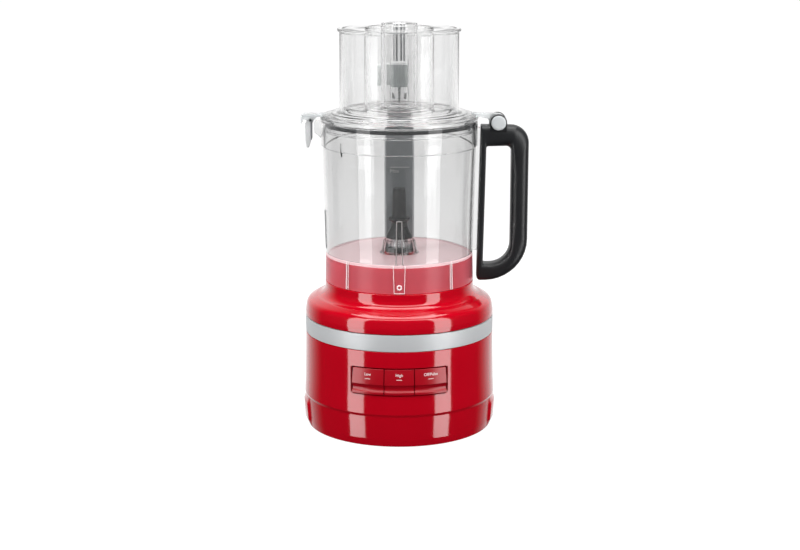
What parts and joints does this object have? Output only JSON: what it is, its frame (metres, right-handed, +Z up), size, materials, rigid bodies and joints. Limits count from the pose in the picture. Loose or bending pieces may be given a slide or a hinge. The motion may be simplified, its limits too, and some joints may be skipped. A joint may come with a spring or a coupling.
{
  "type": "food processor",
  "caption": "Belt-driven food processor with a push-button base, a clear twist-on bowl with a loop handle, and a hinged lid with a wide feed tube and nested pushers.",
  "frame": {"origin": "centre of the bounding box's underside, on the table", "axes": "+Z up, controls facing -Y, handle toward +X; the processor's own axis stands at X = -0.0171"},
  "size_m": [0.2522, 0.2194, 0.4505],
  "materials": {
    "red_gloss": "high gloss",
    "silver_trim": "satin",
    "black_plastic": "matt",
    "foot_rubber": "matt",
    "button_red": "satin",
    "tray_red": "satin",
    "board_green": "satin",
    "motor_steel": "satin",
    "coil_copper": "enamelled",
    "bright_steel": "polished",
    "belt_rubber": "matt",
    "clear_plastic": "clear",
    "smoke_plastic": "tinted clear",
    "white_plastic": "satin",
    "grey_plastic": "satin",
    "dark_plastic": "satin",
    "handle_plastic": "fine matt",
    "seal_rubber": "matt"
  },
  "bodies": {
    "base": {"lower_housing": "red_gloss", "upper_housing": "red_gloss", "trim_band": "silver_trim", "bottom_plate": "black_plastic", "foot_front_left": "foot_rubber", "foot_front_right": "foot_rubber", "foot_rear_left": "foot_rubber", "foot_rear_right": "foot_rubber", "button_tray": "tray_red", "control_board": "board_green", "switch_low": "black_plastic", "switch_off_pulse": "black_plastic", "switch_high": "black_plastic", "chassis_plate": "motor_steel", "motor_can": "motor_steel", "motor_end_cap": "black_plastic", "motor_stator": "coil_copper", "drive_belt": "belt_rubber", "spindle_lower_bearing": "bright_steel", "spindle_upper_bearing": "bright_steel", "shaft_seal": "seal_rubber", "interlock_switch": "black_plastic", "cord_gland": "black_plastic"},
    "low_button": {"button_low": "button_red"},
    "off_pulse_button": {"button_off_pulse": "button_red"},
    "high_button": {"button_high": "button_red"},
    "motor": {"motor_rotor": "bright_steel", "motor_pulley": "motor_steel"},
    "spindle": {"drive_spindle": "bright_steel", "spindle_pulley": "dark_plastic"},
    "bowl_carrier": {"hub_seal": "grey_plastic"},
    "adapter": {"drive_adapter": "dark_plastic"},
    "bowl": {"work_bowl": "clear_plastic", "bowl_floor": "clear_plastic", "bowl_handle": "handle_plastic", "handle_screw_low": "bright_steel", "handle_screw_high": "bright_steel", "hinge_pin": "bright_steel", "hinge_cap_front": "grey_plastic", "hinge_cap_rear": "grey_plastic", "interlock_channel": "smoke_plastic"},
    "rod": {"interlock_rod": "white_plastic"},
    "cover": {"lid": "clear_plastic", "lid_seal": "seal_rubber", "latch_pin": "dark_plastic", "plunger_spring": "bright_steel"},
    "plunger": {"interlock_plunger": "white_plastic"},
    "lever": {"latch_lever": "clear_plastic"},
    "pusher_large": {"large_pusher": "clear_plastic"},
    "pusher_medium": {"medium_pusher": "clear_plastic"},
    "pusher_small": {"small_pusher": "clear_plastic"}
  },
  "joints": [
    {"name": "button_low_push", "type": "slide", "parent": "base", "child": "low_button", "axis": [0, 1, 0], "range_m": [0, 0.0025], "stiffness_N_per_m": 400, "springref_m": -0.001},
    {"name": "button_off_pulse_push", "type": "slide", "parent": "base", "child": "off_pulse_button", "axis": [0, 1, 0], "range_m": [0, 0.0025], "stiffness_N_per_m": 400, "springref_m": -0.001},
    {"name": "button_high_push", "type": "slide", "parent": "base", "child": "high_button", "axis": [0, 1, 0], "range_m": [0, 0.0025], "stiffness_N_per_m": 400, "springref_m": -0.001},
    {"name": "motor_spin", "type": "hinge", "parent": "base", "child": "motor", "pos_m": [-0.0171, 0.052, 0], "axis": [0, 0, 1], "continuous": true},
    {"name": "spindle_spin", "type": "hinge", "parent": "base", "child": "spindle", "pos_m": [-0.0171, 0, 0], "axis": [0, 0, 1], "continuous": true},
    {"name": "bowl_lift", "type": "slide", "parent": "base", "child": "bowl_carrier", "axis": [0, 0, 1], "range_m": [0, 0.16]},
    {"name": "adapter_spin", "type": "hinge", "parent": "bowl_carrier", "child": "adapter", "pos_m": [-0.0171, 0, 0.2124], "axis": [0, 0, 1], "continuous": true},
    {"name": "bowl_twist", "type": "hinge", "parent": "bowl_carrier", "child": "bowl", "pos_m": [-0.0171, 0, 0.1663], "axis": [0, 0, 1], "range_deg": [-25, 0]},
    {"name": "interlock_rod_slide", "type": "slide", "parent": "bowl", "child": "rod", "axis": [0, 0, -1], "range_m": [0, 0.003], "stiffness_N_per_m": 300, "springref_m": -0.001},
    {"name": "lid_hinge", "type": "hinge", "parent": "bowl", "child": "cover", "pos_m": [0.0918, 0, 0.3427], "axis": [0, 1, 0], "range_deg": [0, 95]},
    {"name": "latch_swing", "type": "hinge", "parent": "cover", "child": "lever", "pos_m": [-0.1146, 0, 0.3454], "axis": [0, 1, 0], "range_deg": [0, 50]},
    {"name": "lid_plunger_slide", "type": "slide", "parent": "cover", "child": "plunger", "axis": [0, 0, -1], "range_m": [0, 0.003], "stiffness_N_per_m": 400, "springref_m": -0.0015, "deforming": ["plunger_spring"]},
    {"name": "large_pusher_slide", "type": "slide", "parent": "cover", "child": "pusher_large", "axis": [0, 0, 1], "range_m": [0, 0.1]},
    {"name": "medium_pusher_slide", "type": "slide", "parent": "pusher_large", "child": "pusher_medium", "axis": [0, 0, 1], "range_m": [0, 0.1]},
    {"name": "small_pusher_slide", "type": "slide", "parent": "pusher_medium", "child": "pusher_small", "axis": [0, 0, 1], "range_m": [0, 0.1]}
  ],
  "couplings": [
    {"joint": "spindle_spin", "follows": "motor_spin", "ratio": 0.21053},
    {"joint": "adapter_spin", "follows": "motor_spin", "ratio": 0.21053}
  ]
}
